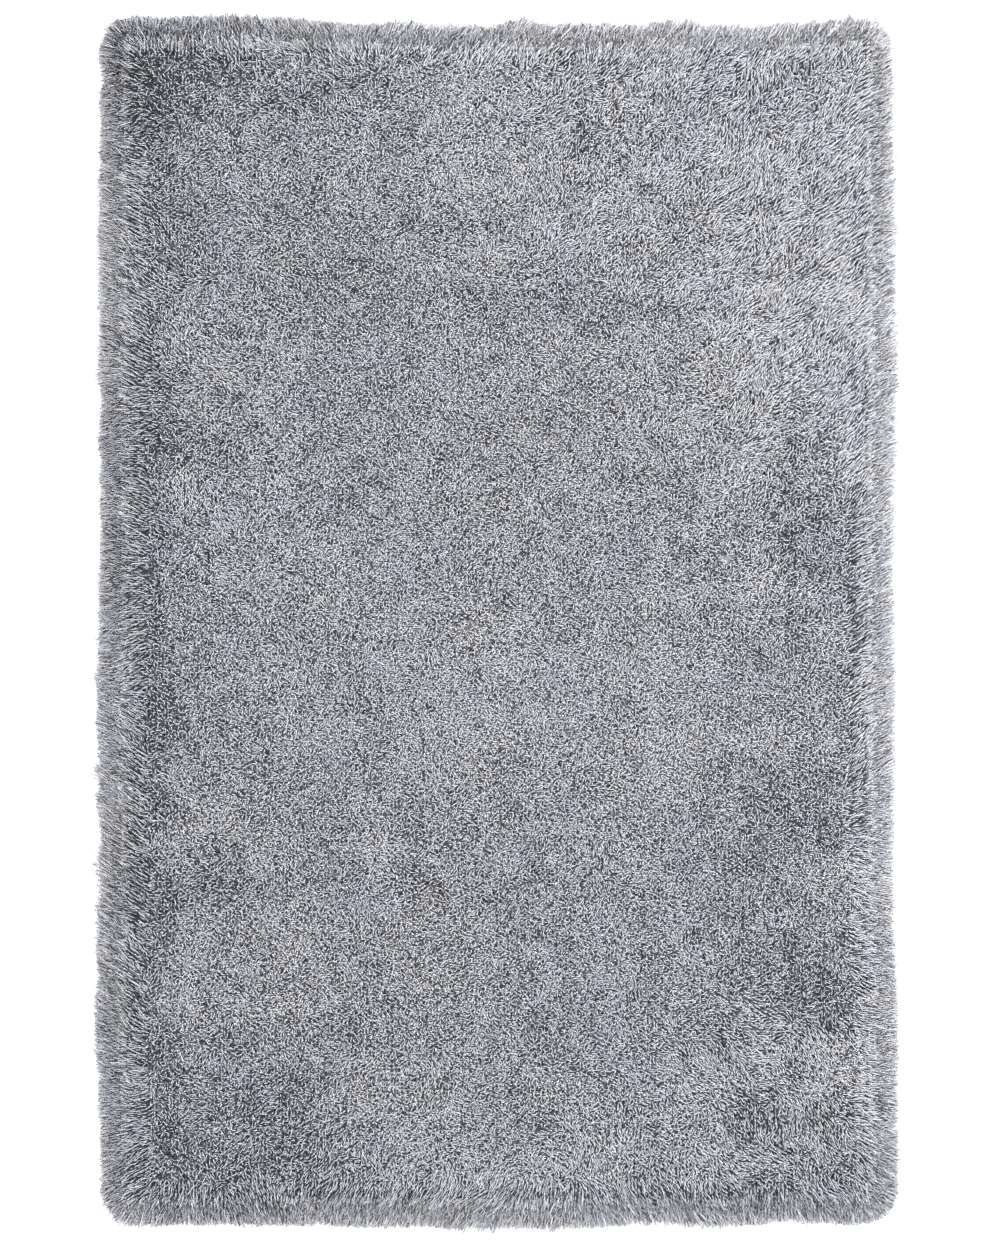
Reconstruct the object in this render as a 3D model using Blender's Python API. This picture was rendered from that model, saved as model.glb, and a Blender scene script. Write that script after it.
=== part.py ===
"""Shag rug: a thick slab of pile lying flat, with a lumpy top and locks of yarn splayed round its rim.

It is one tufted textile, so it is one object and one closed body.
Units are metres and +Z is up. The origin is on the floor, under the middle of the rug.
Seen from above, +X points to the rug's right-hand long side and +Y to its top short side.
"""

import math
import random

import bmesh
import bpy
from mathutils import Matrix, Vector, noise
from mathutils.geometry import delaunay_2d_cdt

SEED = 41

# The outline over the yarn tips, before its sides wander.
HALF_WIDTH = 0.595
HALF_LENGTH = 0.902
CORNER_RADIUS = 0.055

# How far the tips reach past that outline. Columns: place along the side, reach.
# The place is y on a long side and x on a short one, and the reach runs smoothly between rows.
SIDE_WANDER = {
    "right": (
        (-0.73, 0.003),
        (-0.55, 0.003),
        (-0.43, -0.004),
        (-0.16, 0.000),
        (0.11, -0.004),
        (0.35, 0.003),
        (0.71, -0.004),
    ),
    "top": (
        (-0.54, 0.009),
        (-0.39, 0.011),
        (-0.20, 0.000),
        (-0.03, -0.006),
        (0.02, 0.001),
        (0.11, -0.007),
        (0.24, 0.000),
        (0.38, -0.008),
        (0.53, 0.002),
    ),
    "left": (
        (-0.76, -0.002),
        (-0.61, 0.006),
        (-0.37, 0.000),
        (-0.13, 0.006),
        (0.11, -0.002),
        (0.50, 0.002),
        (0.83, -0.002),
    ),
    "bottom": (
        (-0.25, 0.000),
        (-0.07, 0.004),
        (0.11, 0.006),
        (0.24, -0.004),
        (0.33, 0.002),
        (0.47, -0.006),
        (0.56, -0.002),
    ),
}

# The slab's rim: a wall of two bands, each band giving every other lock.
LOCK_COUNT = 280
LOCK_LENGTH = 0.036
LOCK_RAGGED = 0.006
LOCK_UNEVEN = 0.22
LOWER_BAND = 0.009
RIM_WALL = 0.018
RIM_SCALLOP = 0.004
RIM_SCALLOP_SPAN = 0.050
CREST_LIFT = 0.002

# One lock, root to tip. Columns: share of its length, width and depth there against the root's.
LOCK_RINGS = ((0.40, 0.82, 0.84), (0.76, 0.50, 0.56))
LOCK_DROOP = 0.008
DROOP_CURVE = 1.5
LOCK_SPLAY = math.radians(14)
LOCK_SPLAY_EACH = math.radians(4)
LOCK_SPLAY_SPAN = 0.16

# The top: a rounded shoulder, then pile with soft mounds and tufts.
PILE_HEIGHT = 0.039
SHOULDER = 0.075
TUFT_PITCH = 0.036
TUFT_JITTER = 0.009
TUFT_INSET = 0.018
TUFT_LIFT = 0.0065

# Mounds in the pile. Columns: distance from one to the next, height.
MOUNDS = ((0.170, 0.006), (0.075, 0.006))

# Where the pile parts or stands up in a line across the rug. Columns: x, y, half length, rise.
PARTINGS = (
    (0.09, 0.66, 0.06, 0.004),
    (0.45, 0.50, 0.14, -0.005),
    (0.42, 0.29, 0.08, 0.004),
    (0.42, 0.24, 0.08, -0.006),
    (0.22, 0.04, 0.08, 0.004),
    (0.40, -0.18, 0.17, 0.005),
    (0.40, -0.23, 0.17, -0.004),
    (-0.36, -0.41, 0.13, -0.006),
    (0.15, -0.41, 0.07, -0.006),
    (0.46, -0.61, 0.08, 0.004),
)
PARTING_HALF_WIDTH = 0.022

YARN_GREY = (0.31, 0.315, 0.335, 1.0)
YARN_ROUGHNESS = 0.85
SHARP_ANGLE = math.radians(70)


def clear_scene():
    for item in list(bpy.data.objects):
        bpy.data.objects.remove(item, do_unlink=True)


def yarn_material():
    material = bpy.data.materials.new("silver_grey_yarn")
    material.use_nodes = True
    shader = material.node_tree.nodes["Principled BSDF"]
    shader.inputs["Base Color"].default_value = YARN_GREY
    shader.inputs["Roughness"].default_value = YARN_ROUGHNESS
    shader.inputs["Metallic"].default_value = 0.0
    material.diffuse_color = YARN_GREY
    return material


def smooth_step(share):
    share = min(max(share, 0.0), 1.0)
    return share * share * (3 - 2 * share)


def wander_at(side, place):
    """How far the tips reach past the outline on this side."""
    rows = SIDE_WANDER[side]
    if place <= rows[0][0]:
        return rows[0][1]
    for (start, reach), (end, next_reach) in zip(rows, rows[1:]):
        if place <= end:
            return reach + (next_reach - reach) * smooth_step((place - start) / (end - start))
    return rows[-1][1]


def outline_point(distance):
    """The point at this distance anticlockwise round the tips' outline, and the way out from it."""
    core = (HALF_WIDTH - CORNER_RADIUS, HALF_LENGTH - CORNER_RADIUS)
    corner_run = CORNER_RADIUS * math.pi / 2
    for quarter in range(4):
        turn = Matrix.Rotation(quarter * math.pi / 2, 2)
        reach, half_run = core if quarter % 2 == 0 else core[::-1]
        if distance <= 2 * half_run:
            return turn @ Vector((reach + CORNER_RADIUS, distance - half_run)), turn @ Vector((1, 0))
        distance -= 2 * half_run
        if distance <= corner_run:
            angle = distance / CORNER_RADIUS
            out = Vector((math.cos(angle), math.sin(angle)))
            return turn @ (Vector((reach, half_run)) + CORNER_RADIUS * out), turn @ out
        distance -= corner_run
    return outline_point(distance)  # past one whole turn


def outline_length():
    straights = 4 * (HALF_WIDTH + HALF_LENGTH - 2 * CORNER_RADIUS)
    return straights + 2 * math.pi * CORNER_RADIUS


def wandered(point, out):
    """The outline's point, moved in or out with the sides that it belongs to."""
    long_side = "right" if out.x > 0 else "left"
    short_side = "top" if out.y > 0 else "bottom"
    reach = out.x**2 * wander_at(long_side, point.y) + out.y**2 * wander_at(short_side, point.x)
    return point + reach * out


def depth_inside(x, y):
    """How far a place lies inside the slab's own edge."""
    past_x = abs(x) - (HALF_WIDTH - CORNER_RADIUS)
    past_y = abs(y) - (HALF_LENGTH - CORNER_RADIUS)
    corner = math.hypot(max(past_x, 0), max(past_y, 0))
    return CORNER_RADIUS - corner - min(max(past_x, past_y), 0) - LOCK_LENGTH


def parting_rise(x, y):
    rise = 0.0
    for middle_x, middle_y, half_length, height in PARTINGS:
        along = (x - middle_x) / half_length
        across = (y - middle_y) / PARTING_HALF_WIDTH
        rise += height * math.exp(-(along**4) - across**2)
    return rise


def pile_height(x, y):
    """The top's height without its single tufts."""
    inside = min(max(depth_inside(x, y) / SHOULDER, 0.0), 1.0)
    height = RIM_WALL + (PILE_HEIGHT - RIM_WALL) * math.sqrt(1 - (1 - inside) ** 2)
    mounds = sum(size * noise.noise(Vector((x / span, y / span, span))) for span, size in MOUNDS)
    return height + inside * (mounds + parting_rise(x, y))


def rim_columns():
    """The slab's edge points and the way out at each, unevenly spaced along the tips' outline."""
    columns = []
    for number in range(LOCK_COUNT):
        number += random.uniform(-1, 1) * LOCK_UNEVEN
        point, out = outline_point(outline_length() * (number + 0.5) / LOCK_COUNT)
        scallop = RIM_SCALLOP * noise.noise(point.to_3d() / RIM_SCALLOP_SPAN)
        columns.append((wandered(point, out) - (LOCK_LENGTH + scallop) * out, out))
    return columns


def ring_of(mesh, columns, heights):
    return [mesh.verts.new((*point, height)) for (point, _), height in zip(columns, heights)]


def join_rings(mesh, loop, ring):
    for index, corner in enumerate(loop):
        following = (index + 1) % len(loop)
        mesh.faces.new((corner, loop[following], ring[following], ring[index]))


def lock_section(root, ways, share, splay, length, underside):
    """The root's corners carried out to this share of a lock, and the middle of its underside there."""
    bend = Matrix.Rotation(splay * share, 3, "Z")
    carried = [corner.co + share * length * (bend @ way) for corner, way in zip(root, ways)]
    middle = sum(carried, Vector()) / len(carried)
    middle.z = underside
    return carried, middle


def add_lock(mesh, root, ways, splay, length, droop):
    """One four-sided lock on a wall face, bent sideways. With no droop its underside stays on the floor.

    Each corner of the root has its own way out, so the locks at the rug's corners fan.
    """
    base = min(corner.co.z for corner in root)
    loop = root
    for share, width, depth in LOCK_RINGS:
        underside = base - droop * share**DROOP_CURVE
        carried, middle = lock_section(root, ways, share, splay, length, underside)
        ring = []
        for corner, place in zip(root, carried):
            place = middle.lerp(place, width)
            place.z = underside + depth * (corner.co.z - base)
            ring.append(mesh.verts.new(place))
        join_rings(mesh, loop, ring)
        loop = ring
    _, end = lock_section(root, ways, 1.0, splay, length, base - droop)
    tip = mesh.verts.new(end)
    for near, far in zip(loop, loop[1:] + loop[:1]):
        mesh.faces.new((near, far, tip))


def add_rim(mesh, columns, rings):
    """The wall's two bands: each face is flat, or carries a lock."""
    for band, (low, high) in enumerate(zip(rings, rings[1:])):
        for index, (point, out) in enumerate(columns):
            following = (index + 1) % len(columns)
            face = [low[index], low[following], high[following], high[index]]
            if index % 2 != band:
                mesh.faces.new(face)
                continue
            near_way = out.to_3d()
            far_way = columns[following][1].to_3d()
            drift = noise.noise(point.to_3d() / LOCK_SPLAY_SPAN)
            splay = LOCK_SPLAY * drift + random.uniform(-1, 1) * LOCK_SPLAY_EACH
            length = LOCK_LENGTH + random.uniform(-1, 1) * LOCK_RAGGED
            droop = band * LOCK_DROOP * random.uniform(0.5, 1)
            add_lock(mesh, face, (near_way, far_way, far_way, near_way), splay, length, droop)


def tuft_places():
    """Uneven places over the top, in staggered rows."""
    row_step = TUFT_PITCH * math.sqrt(3) / 2
    rows = round(2 * HALF_LENGTH / row_step)
    across = round(2 * HALF_WIDTH / TUFT_PITCH)
    places = []
    for row in range(rows + 1):
        for number in range(across + 1):
            x = (number - across / 2 + 0.5 * (row % 2)) * TUFT_PITCH
            y = (row - rows / 2) * row_step
            x += random.uniform(-1, 1) * TUFT_JITTER
            y += random.uniform(-1, 1) * TUFT_JITTER
            if depth_inside(x, y) > TUFT_INSET:
                places.append(Vector((x, y)))
    return places


def add_top(mesh, columns, rim):
    """The lumpy top: triangles between the rim and the tufts."""
    tufts = tuft_places()
    corners = list(rim)
    for place in tufts:
        lift = random.uniform(-1, 1) * TUFT_LIFT
        corners.append(mesh.verts.new((place.x, place.y, pile_height(place.x, place.y) + lift)))
    flat = [point for point, _ in columns] + tufts
    outline = [list(range(len(columns)))]
    made, _, faces, sources, _, _ = delaunay_2d_cdt(flat, [], outline, 1, 1e-6)
    assert len(made) == len(flat), "the rim crosses itself"
    for face in faces:
        mesh.faces.new([corners[sources[index][0]] for index in face])


def centre_on_floor(mesh):
    """Moves the mesh so that the origin is under the middle of its box."""
    for axis in (0, 1):
        spread = [vertex.co[axis] for vertex in mesh.verts]
        middle = (min(spread) + max(spread)) / 2
        for vertex in mesh.verts:
            vertex.co[axis] -= middle


def shag_rug():
    """The one object: its rim wall with locks, its flat underside and its lumpy top."""
    columns = rim_columns()
    mesh = bmesh.new()
    rings = [ring_of(mesh, columns, [0.0] * LOCK_COUNT)]
    rings.append(ring_of(mesh, columns, [LOWER_BAND] * LOCK_COUNT))
    crest = [RIM_WALL + random.uniform(-1, 1) * CREST_LIFT for _ in columns]
    rings.append(ring_of(mesh, columns, crest))
    mesh.faces.new(rings[0][::-1])
    add_rim(mesh, columns, rings)
    add_top(mesh, columns, rings[-1])
    centre_on_floor(mesh)
    data = bpy.data.meshes.new("shag_rug")
    mesh.to_mesh(data)
    mesh.free()
    data.shade_smooth()
    data.set_sharp_from_angle(angle=SHARP_ANGLE)
    data.materials.append(yarn_material())
    rug = bpy.data.objects.new("shag_rug", data)
    bpy.context.scene.collection.objects.link(rug)


def main():
    random.seed(SEED)
    clear_scene()
    shag_rug()


main()
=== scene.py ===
"""Looks of the shag rug: a woven ground cloth, the matted foot of the pile, and its yarns one by one.

Lengths are metres and angles degrees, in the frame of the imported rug: +X is the right-hand long side,
+Y the top short side and +Z up. A heading is anticlockwise from +X as seen from above. Depth is the
distance inside the line of the yarn tips, and out is the way straight past the nearest side or corner.
Tone and hue run from 0 to 1, and the yarns' material turns them into colours. The dark yarns stand for
the deep shade between the light ones.
"""

import math

import bpy
import numpy as np
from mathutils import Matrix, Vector
from mathutils.kdtree import KDTree


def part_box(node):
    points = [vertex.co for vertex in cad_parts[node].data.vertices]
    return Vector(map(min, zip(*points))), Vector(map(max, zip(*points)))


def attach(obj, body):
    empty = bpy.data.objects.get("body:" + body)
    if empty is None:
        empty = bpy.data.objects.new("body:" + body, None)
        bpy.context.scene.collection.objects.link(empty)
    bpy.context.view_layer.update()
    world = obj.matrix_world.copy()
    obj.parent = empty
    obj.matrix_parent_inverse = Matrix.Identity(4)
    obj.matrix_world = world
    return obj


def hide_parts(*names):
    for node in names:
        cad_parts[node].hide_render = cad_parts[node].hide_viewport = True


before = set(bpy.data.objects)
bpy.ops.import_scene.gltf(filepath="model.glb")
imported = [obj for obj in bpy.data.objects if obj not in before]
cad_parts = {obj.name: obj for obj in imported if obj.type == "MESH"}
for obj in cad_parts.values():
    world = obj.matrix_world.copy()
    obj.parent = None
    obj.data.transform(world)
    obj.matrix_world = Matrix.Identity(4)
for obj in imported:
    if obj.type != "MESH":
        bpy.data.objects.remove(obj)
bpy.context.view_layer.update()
_, box_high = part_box("shag_rug")

SEED = 7

# ---------------------------------------------------------------- sizes

# The usual line of the yarn tips, a little inside the solid's box, which the longest locks set.
TIP_LINE_MIDDLE = (0.0015, -0.0030)
TIP_HALF_WIDTH = box_high.x - 0.0050
TIP_HALF_LENGTH = box_high.y - 0.0100
CORNER_RADIUS = 0.055
# The rim's yarns fan out round wider corners than the line of their tips has.
FAN_RADIUS = 0.130

CLOTH_INSET = 0.040
CLOTH_THICKNESS = 0.0025
CLOTH_LIFT = 0.0004
CLOTH_PITCH = 0.050

# The matted foot of the pile, and the slope of its top down to its edge.
FOOT_INSET = CLOTH_INSET + 0.004
FOOT_HEIGHT = 0.0345
FOOT_PITCH = 0.020
SLOPE_START = 0.7 * CLOTH_INSET
SLOPE_WIDTH = 0.095
TIGHTEST_CORNER = 0.012

# The uppermost yarns of the rim: height at the tips, rise from there, and the depth where it ends.
CROWN_START = 0.003
CROWN_RISE = 0.039
CROWN_DEPTH = 0.110

# From a yarn's middle line to its three corners, for a yarn of width 1.
YARN_RADIUS = 0.000848
# Where the points of a yarn lie along it.
STRAIGHT = (0.0, 1.0)
BENT = (0.0, 0.5, 1.0)
# Below 1, a bent yarn turns over sooner along its length.
TURN_OVER = 0.8
# The share of a yarn's length by which its root stands behind its place.
SET_BACK = 0.7

# How far apart the yarns stand, and how unevenly, as a share of that.
STUB_PITCH = 0.0035
BENT_PITCH = 0.0125
THATCH_PITCH = 0.0033
YARN_JITTER = 0.25
CLUMP_PITCH = 0.021
CLUMP_JITTER = 0.45

# ---------------------------------------------------------------- the lie of the pile

# Fields of smooth noise. Columns: seed, span of a lump, size of the values.
NOISE_FIELDS = {
    "mounds": (11, 0.090, 0.0030),
    "lumps": (12, 0.040, 0.0025),
    "parting_line": (21, 0.060, 0.012),
    "broad_tone": (31, 0.100, 0.04),
    "fine_tone": (32, 0.045, 0.03),
    "fine_hue": (33, 0.030, 0.18),
    "broad_hue": (34, 0.100, 0.16),
    "drift_x": (41, 0.050, 0.8),
    "drift_y": (42, 0.050, 0.8),
    "top_patches": (44, 0.026, 1),
    "thatch_patches": (45, 0.026, 0.40),
    "ragged_edge": (46, 0.012, 0.008),
    "tuft_turn": (51, 0.018, 1),
    "tuft_length": (52, 0.018, 1),
    "tuft_reach": (61, 0.022, 1),
}

# How unevenly each side of the rim lies.
SIDE_LOOSENESS = {"right": 0.0, "top": 1.0, "left": 0.5, "bottom": 0.3}

# What goes by looseness. Columns: value where the rim is neat, change where its looseness is 1.
BY_LOOSENESS = {
    "tuft_reach": (0.0018, 0.0027),
    "tuft_turn": (8, 10),
    "tuft_length": (0.05, 0.05),
    "thatch_turn": (16, 14),
    "thatch_length": (0.0165, -0.0030),
    "thatch_dark": (0.62, 0.12),
}

# How far the tips reach past their usual line. Columns: place along the side, reach.
SIDE_WANDER = {
    "right": ((-0.73, 0.003), (-0.55, 0.003), (-0.43, -0.004), (-0.16, 0.000), (0.11, -0.004),
              (0.35, 0.003), (0.71, -0.004)),
    "top": ((-0.54, 0.009), (-0.39, 0.011), (-0.20, 0.000), (-0.03, -0.006), (0.02, 0.001),
            (0.11, -0.007), (0.24, 0.000), (0.38, -0.008), (0.53, 0.002)),
    "left": ((-0.76, -0.002), (-0.61, 0.006), (-0.37, 0.000), (-0.13, 0.006), (0.11, -0.002),
             (0.50, 0.002), (0.83, -0.002)),
    "bottom": ((-0.25, 0.000), (-0.07, 0.004), (0.11, 0.006), (0.24, -0.004), (0.33, 0.002),
               (0.47, -0.006), (0.56, -0.002)),
}

# How the rim's yarns turn from straight out. Columns: place along the side, degrees anticlockwise.
SIDE_SWEEP = {
    "right": ((-0.86, -20), (-0.78, -38), (-0.72, -16), (-0.64, 14), (-0.54, -16), (-0.43, -16),
              (-0.34, 8), (-0.29, 2), (-0.23, 40), (-0.12, 32), (0.05, 40), (0.42, 43), (0.54, 35),
              (0.66, 45), (0.86, 46)),
    "top": ((-0.56, 30), (-0.49, -22), (-0.43, -5), (-0.38, 25), (-0.31, 38), (-0.25, 26),
            (-0.19, -25), (-0.10, -36), (-0.02, -26), (0.09, -42), (0.16, -22), (0.30, -41),
            (0.46, -33), (0.56, -42)),
    "left": ((-0.86, 35), (-0.79, 12), (-0.72, -5), (-0.62, -32), (-0.50, -36), (-0.37, -45),
             (-0.25, -38), (-0.13, -26), (-0.07, 26), (0.00, 30), (0.10, -18), (0.20, 0),
             (0.30, 15), (0.42, -20), (0.54, -32), (0.66, -20), (0.80, 5)),
    "bottom": ((-0.56, -40), (-0.46, -10), (-0.38, 35), (-0.33, 18), (-0.26, -30), (-0.08, -30),
               (-0.02, -45), (0.10, -14), (0.16, 34), (0.34, 38), (0.40, -5), (0.46, 38),
               (0.57, -15)),
}
# The long yarns and the thatch turn by this share of the sweep.
SWEEP_SHARE = 0.8

# The line inside the rim where the pile parts. Columns: place along the side, depth.
PARTING_DEPTH = {
    "right": ((-0.90, 0.070), (0.20, 0.070), (0.40, 0.080)),
    "top": ((-0.60, 0.070), (-0.30, 0.050)),
    "left": ((-0.90, 0.074), (0.90, 0.074)),
    "bottom": ((-0.60, 0.066), (0.60, 0.066)),
}
# Columns: place along the side, how wide the change from one lie to the other is.
PARTING_WIDTH = {
    "right": ((-0.90, 0.026), (0.20, 0.026), (0.34, 0.070)),
    "top": ((-0.60, 0.030), (-0.30, 0.045)),
    "left": ((-0.90, 0.024), (0.90, 0.024)),
    "bottom": ((-0.60, 0.030), (0.60, 0.040)),
}

# Lines on the top where the pile parts or stands up. Columns: x, y, half length, rise.
PARTINGS = (
    (0.09, 0.66, 0.06, 0.004),
    (0.45, 0.50, 0.14, -0.005),
    (0.42, 0.29, 0.08, 0.004),
    (0.42, 0.24, 0.08, -0.006),
    (0.22, 0.04, 0.08, 0.004),
    (0.40, -0.18, 0.17, 0.005),
    (0.40, -0.23, 0.17, -0.004),
    (-0.36, -0.41, 0.13, -0.006),
    (0.15, -0.41, 0.07, -0.006),
    (0.46, -0.61, 0.08, 0.004),
)
PARTING_HALF_WIDTH = 0.022

# Where the pile is combed one way. Columns: x, y, reach in x, reach in y, heading, strength.
COMBED = (
    (0.44, 0.55, 0.17, 0.42, 48, 1.5),
    (0.20, 0.80, 0.26, 0.14, 52, 0.9),
    (0.10, 0.60, 0.16, 0.12, 46, 0.5),
    (-0.34, 0.84, 0.16, 0.07, 130, 0.9),
    (-0.40, 0.72, 0.18, 0.05, 222, 0.6),
    (-0.46, 0.40, 0.10, 0.24, 140, 0.8),
    (-0.40, 0.16, 0.12, 0.10, 138, 0.6),
    (-0.48, -0.32, 0.08, 0.22, 146, 0.5),
    (0.47, -0.68, 0.16, 0.14, -42, 1.3),
    (0.28, -0.60, 0.14, 0.10, -50, 0.5),
    (0.24, -0.84, 0.22, 0.08, -52, 0.8),
    (-0.18, -0.82, 0.24, 0.10, 240, 0.8),
    (-0.42, -0.68, 0.14, 0.12, 205, 0.4),
    (-0.13, -0.34, 0.10, 0.08, 22, 0.4),
    (0.10, -0.27, 0.08, 0.07, 36, 0.4),
)

# What else makes the yarns of the top lean, as strengths like those above: the rim, the clumps that they
# stand in, and a lean of each yarn's own, which is less where the pile is combed.
RIM_LEAN = 3.0
CLUMP_LEAN = 0.50
OWN_LEAN = 0.8
OWN_LEAN_LESS = 0.4
# The strength at which the pile counts as fully combed.
FULLY_COMBED = 1.6

# ---------------------------------------------------------------- the kinds of yarn

# The yarns of the top start about here, over the upper end of the thatch. Places for them, and for the
# clumps that lean together, are tried from a little further out.
TOP_START = CLOTH_INSET - 0.003
TOP_START_SPREAD = 0.003
PLACES_START = CLOTH_INSET - 0.012
CLUMPS_START = CLOTH_INSET - 0.020

# The shape of the top's yarns. Columns: usual value, change where combed, change at the rim, spread,
# change of the spread where combed.
STUB_SHAPE = {
    "rise": (34, -6, -16, 14, -5),
    "length": (0.0132, 0.0020, 0, 0, 0),
}
BENT_SHAPE = {
    "curl": (0, 0, 0, 80, -50),
    "rise": (76, -16, -16, 9, 0),
    "fall": (-16, 0, -6, 26, -12),
    "length": (0.0155, 0.0090, 0.0040, 0, 0),
}
# The shortest and the longest of each kind, as shares of its usual length.
STUB_LENGTHS = (0.80, 1.20)
BENT_LENGTHS = (0.75, 1.25)
THATCH_LENGTHS = (0.75, 1.25)
BENT_WIDTH = 0.85
BENT_TONE = -0.06
# The share of bent yarns that stay where the pile isn't combed. Where it is, all of them do.
BENT_SHARE = 0.30

# Some dark stubs, painted shade, are short and wide and stand higher, and look like holes in the pile.
HOLE_SHARE = 0.30
HOLE_WIDTH = 1.6
HOLE_LENGTH = 0.6
HOLE_RAISED = 0.0018

# How far the roots stand below the foot's top or the crown, and how much deeper those of dark yarns do.
SUNK = 0.0025
DARK_SUNK = 0.0006
THATCH_DARK_SUNK = 0.0005
SUNK_SPREAD = 0.0006

# The thatch on the rim's slope. It starts near the tips, and none of it reaches far past them.
THATCH_START = 0.002
THATCH_OVERREACH = 0.001
THATCH_FALL = -20
THATCH_FALL_SPREAD = 7
THATCH_WIDTH = 0.95
# The rim's yarns are longer where they turn from straight out, as far as these cosines of the turn.
THATCH_TURN_COSINE = 0.50
RIM_TURN_COSINE = 0.55

# The rim's long rows, from the floor up. Columns: depth, spacing, root height, rise, fall.
RIM_ROWS = (
    (0.040, 0.0022, 0.0028, 5, -2),
    (0.043, 0.0022, 0.0060, 15, -12),
)
RIM_ROOT_SPREAD = 0.0015
RIM_HEADING_SPREAD = 9
RIM_CURL_SPREAD = 16
RIM_SLOPE_SPREAD = 6
RIM_LENGTH_SPREAD = 0.04
RIM_DARK_SHARE = 0.20
RIM_DARK_SHORTER = 0.08

# The shares of dark yarns on the top and in the thatch, and how they go by tone and painted light, patches
# and rank.
TOP_DARK = 0.56
TOP_DARK_BY_TONE_AND_LIGHT = -3.1
TOP_DARK_BY_PATCH = 0.38
TOP_PATCH_BY_TONE_AND_LIGHT = 1.1
THATCH_DARK_BY_RIM_LIGHT = -2.0
DARK_BY_RANK = -0.75

# How each kind of yarn looks. Columns: tone of the dark ones, tone of the light ones, more tone for each
# rank, spread of tone, hue past the rug's, spread of hue, length of the root that is hidden.
# A hidden length makes less of the yarn lie in the painted shade at its root.
YARN_LOOKS = {
    "top": (0.00, 0.84, 0.04, 0.045, 0.00, 0.16, 0.001),
    "thatch": (0.00, 0.62, 0.06, 0.080, -0.05, 0.20, 0.003),
    "rim": (0.22, 0.64, 0.00, 0.080, -0.25, 0.22, 0.000),
}
RUG_HUE = 0.52
# How the tone field and its painted light and shade change the top yarns' tone and hue; shade is bluer.
TOP_TONE_BY_FIELD = 0.40
TOP_HUE_BY_FIELD = -0.5

# Painted light and shade along the rim, in stretches. Columns: place along the side, change of tone.
RIM_LIGHT_AND_SHADE = {
    "right": ((-0.90, 0.09), (-0.57, 0.06), (-0.40, 0.11), (0.10, 0.11), (0.35, 0.13), (0.90, 0.04)),
    "top": ((-0.60, -0.06), (-0.40, -0.02), (-0.30, 0.03), (0.00, 0.08), (0.20, 0.13), (0.60, 0.15)),
    "left": ((-0.90, 0.04), (-0.60, 0.07), (-0.10, 0.09), (0.10, 0.00), (0.33, 0.00), (0.42, 0.08),
             (0.60, 0.13), (0.70, 0.01), (0.90, -0.07)),
    "bottom": ((-0.55, 0.06), (-0.42, -0.02), (-0.28, 0.04), (-0.18, 0.12), (0.30, 0.09), (0.60, 0.03)),
}

# Painted light and shade in patches of the top. Columns: x, y, reach in x, reach in y, change of tone.
LIGHT_AND_SHADE_PATCHES = (
    # The left half, from the top down.
    (-0.52, 0.79, 0.068, 0.083, -0.24),
    (-0.44, 0.84, 0.068, 0.045, -0.12),
    (-0.32, 0.77, 0.200, 0.060, -0.10),
    (-0.48, 0.55, 0.035, 0.150, -0.08),
    (-0.20, 0.48, 0.180, 0.037, -0.05),
    (-0.48, 0.27, 0.090, 0.045, -0.10),
    (-0.47, 0.15, 0.055, 0.035, -0.11),
    (-0.29, 0.12, 0.135, 0.060, 0.05),
    (-0.52, 0.00, 0.041, 0.900, -0.155),
    (-0.14, -0.06, 0.105, 0.060, 0.07),
    (-0.41, -0.17, 0.055, 0.075, -0.08),
    (-0.18, -0.35, 0.021, 0.027, 0.10),
    (-0.40, -0.40, 0.195, 0.021, -0.10),
    (-0.52, -0.42, 0.083, 0.045, -0.10),
    (-0.46, -0.52, 0.018, 0.075, 0.16),
    (-0.42, -0.63, 0.140, 0.030, -0.09),
    (-0.36, -0.78, 0.165, 0.128, -0.15),
    (-0.50, -0.81, 0.083, 0.060, -0.05),
    # The middle.
    (-0.02, 0.83, 0.070, 0.075, 0.15),
    (-0.01, 0.65, 0.075, 0.090, 0.08),
    (0.12, 0.73, 0.032, 0.120, -0.09),
    (0.03, 0.51, 0.060, 0.030, 0.07),
    (0.13, 0.47, 0.090, 0.027, -0.08),
    (0.19, 0.39, 0.080, 0.055, 0.10),
    (0.06, 0.20, 0.200, 0.150, 0.05),
    (0.23, 0.04, 0.165, 0.015, 0.09),
    (0.02, -0.06, 0.350, 0.260, 0.035),
    (0.10, -0.10, 0.210, 0.075, 0.08),
    (-0.02, -0.16, 0.090, 0.037, 0.16),
    (0.25, -0.22, 0.052, 0.042, 0.20),
    (0.18, -0.35, 0.080, 0.055, 0.09),
    (-0.04, -0.53, 0.060, 0.070, 0.07),
    (-0.06, -0.79, 0.140, 0.090, 0.04),
    (0.20, -0.79, 0.070, 0.060, 0.05),
    # The right half, from the top down.
    (0.39, 0.76, 0.120, 0.055, -0.08),
    (0.48, 0.66, 0.040, 0.050, -0.09),
    (0.28, 0.58, 0.050, 0.030, 0.07),
    (0.48, 0.455, 0.090, 0.016, -0.11),
    (0.44, 0.42, 0.135, 0.150, 0.06),
    (0.45, 0.13, 0.080, 0.090, -0.18),
    (0.52, 0.15, 0.021, 0.075, -0.04),
    (0.40, 0.05, 0.045, 0.015, 0.08),
    (0.53, -0.03, 0.021, 0.090, -0.05),
    (0.532, 0.02, 0.008, 0.240, -0.22),
    (0.37, -0.18, 0.158, 0.021, 0.24),
    (0.53, -0.19, 0.021, 0.033, -0.09),
    (0.44, -0.30, 0.120, 0.090, -0.09),
    (0.49, -0.37, 0.042, 0.018, 0.18),
    (0.46, -0.53, 0.120, 0.090, -0.15),
    (0.40, -0.63, 0.140, 0.070, -0.08),
    (0.47, -0.645, 0.083, 0.028, 0.10),
    (0.40, -0.74, 0.057, 0.033, -0.24),
    (0.52, -0.73, 0.037, 0.037, -0.08),
    (0.44, -0.84, 0.150, 0.035, -0.12),
    # Along the two short sides.
    (0.10, 0.84, 0.550, 0.036, -0.06),
    (0.10, -0.86, 0.400, 0.013, -0.14),
)

# ---------------------------------------------------------------- vectors


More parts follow.
